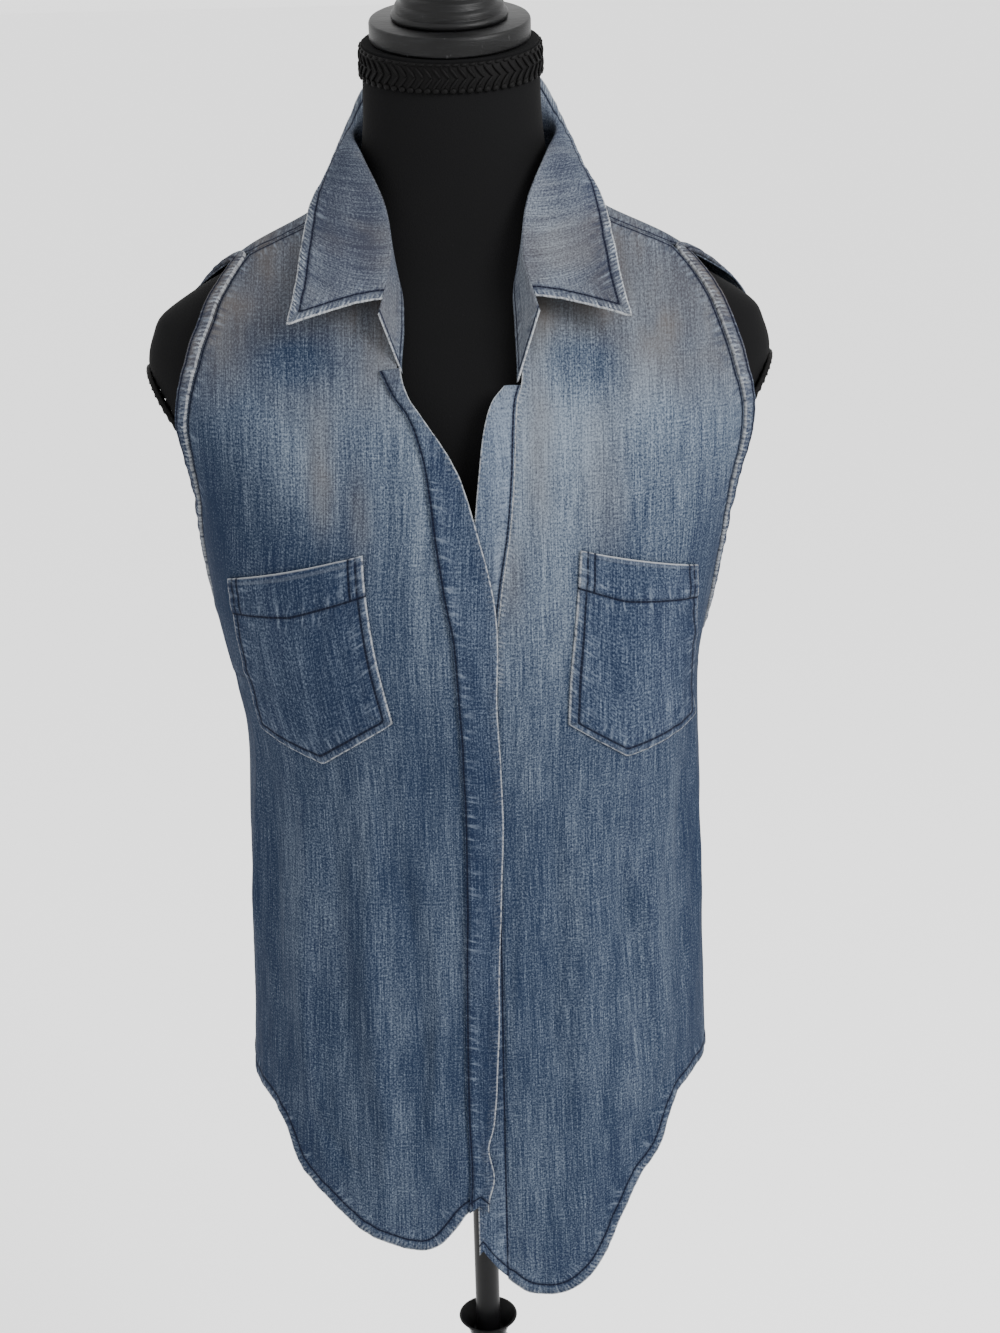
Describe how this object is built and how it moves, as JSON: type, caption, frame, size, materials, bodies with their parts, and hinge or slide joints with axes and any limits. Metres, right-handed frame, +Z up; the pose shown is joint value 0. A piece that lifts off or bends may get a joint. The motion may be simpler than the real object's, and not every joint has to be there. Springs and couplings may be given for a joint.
{
  "type": "denim shirt on dress form",
  "caption": "Sleeveless denim shirt with popped collar, concealed placket and pointed patch pockets, on a black limbless dress form and stand.",
  "frame": {"origin": "on the floor under the pole, middle of the base's underside", "axes": "+Z up, +X towards the wearer's left, -Y out of the front of the shirt"},
  "size_m": [0.4212, 0.38, 1.4694],
  "materials": {
    "denim": "washed, faded at the shoulders",
    "denim_deep": "washed, less faded",
    "form_cloth": "matt jersey",
    "braid": "plaited",
    "black_wood": "painted, worn satin",
    "black_metal": "satin"
  },
  "bodies": {
    "root": {"front_right": "denim", "front_left": "denim", "back": "denim", "placket_right": "denim_deep", "placket_left": "denim_deep", "collar_stand": "denim", "collar_leaf": "denim", "armhole_band_right": "denim_deep", "armhole_band_left": "denim_deep", "pocket_right": "denim_deep", "pocket_left": "denim_deep", "form_torso": "form_cloth", "neck_trim": "braid", "plate_trim_right": "braid", "plate_trim_left": "braid", "neck_cap": "black_wood", "finial": "black_wood", "pole": "black_metal", "hub": "black_metal", "base": "black_metal"}
  },
  "joints": []
}
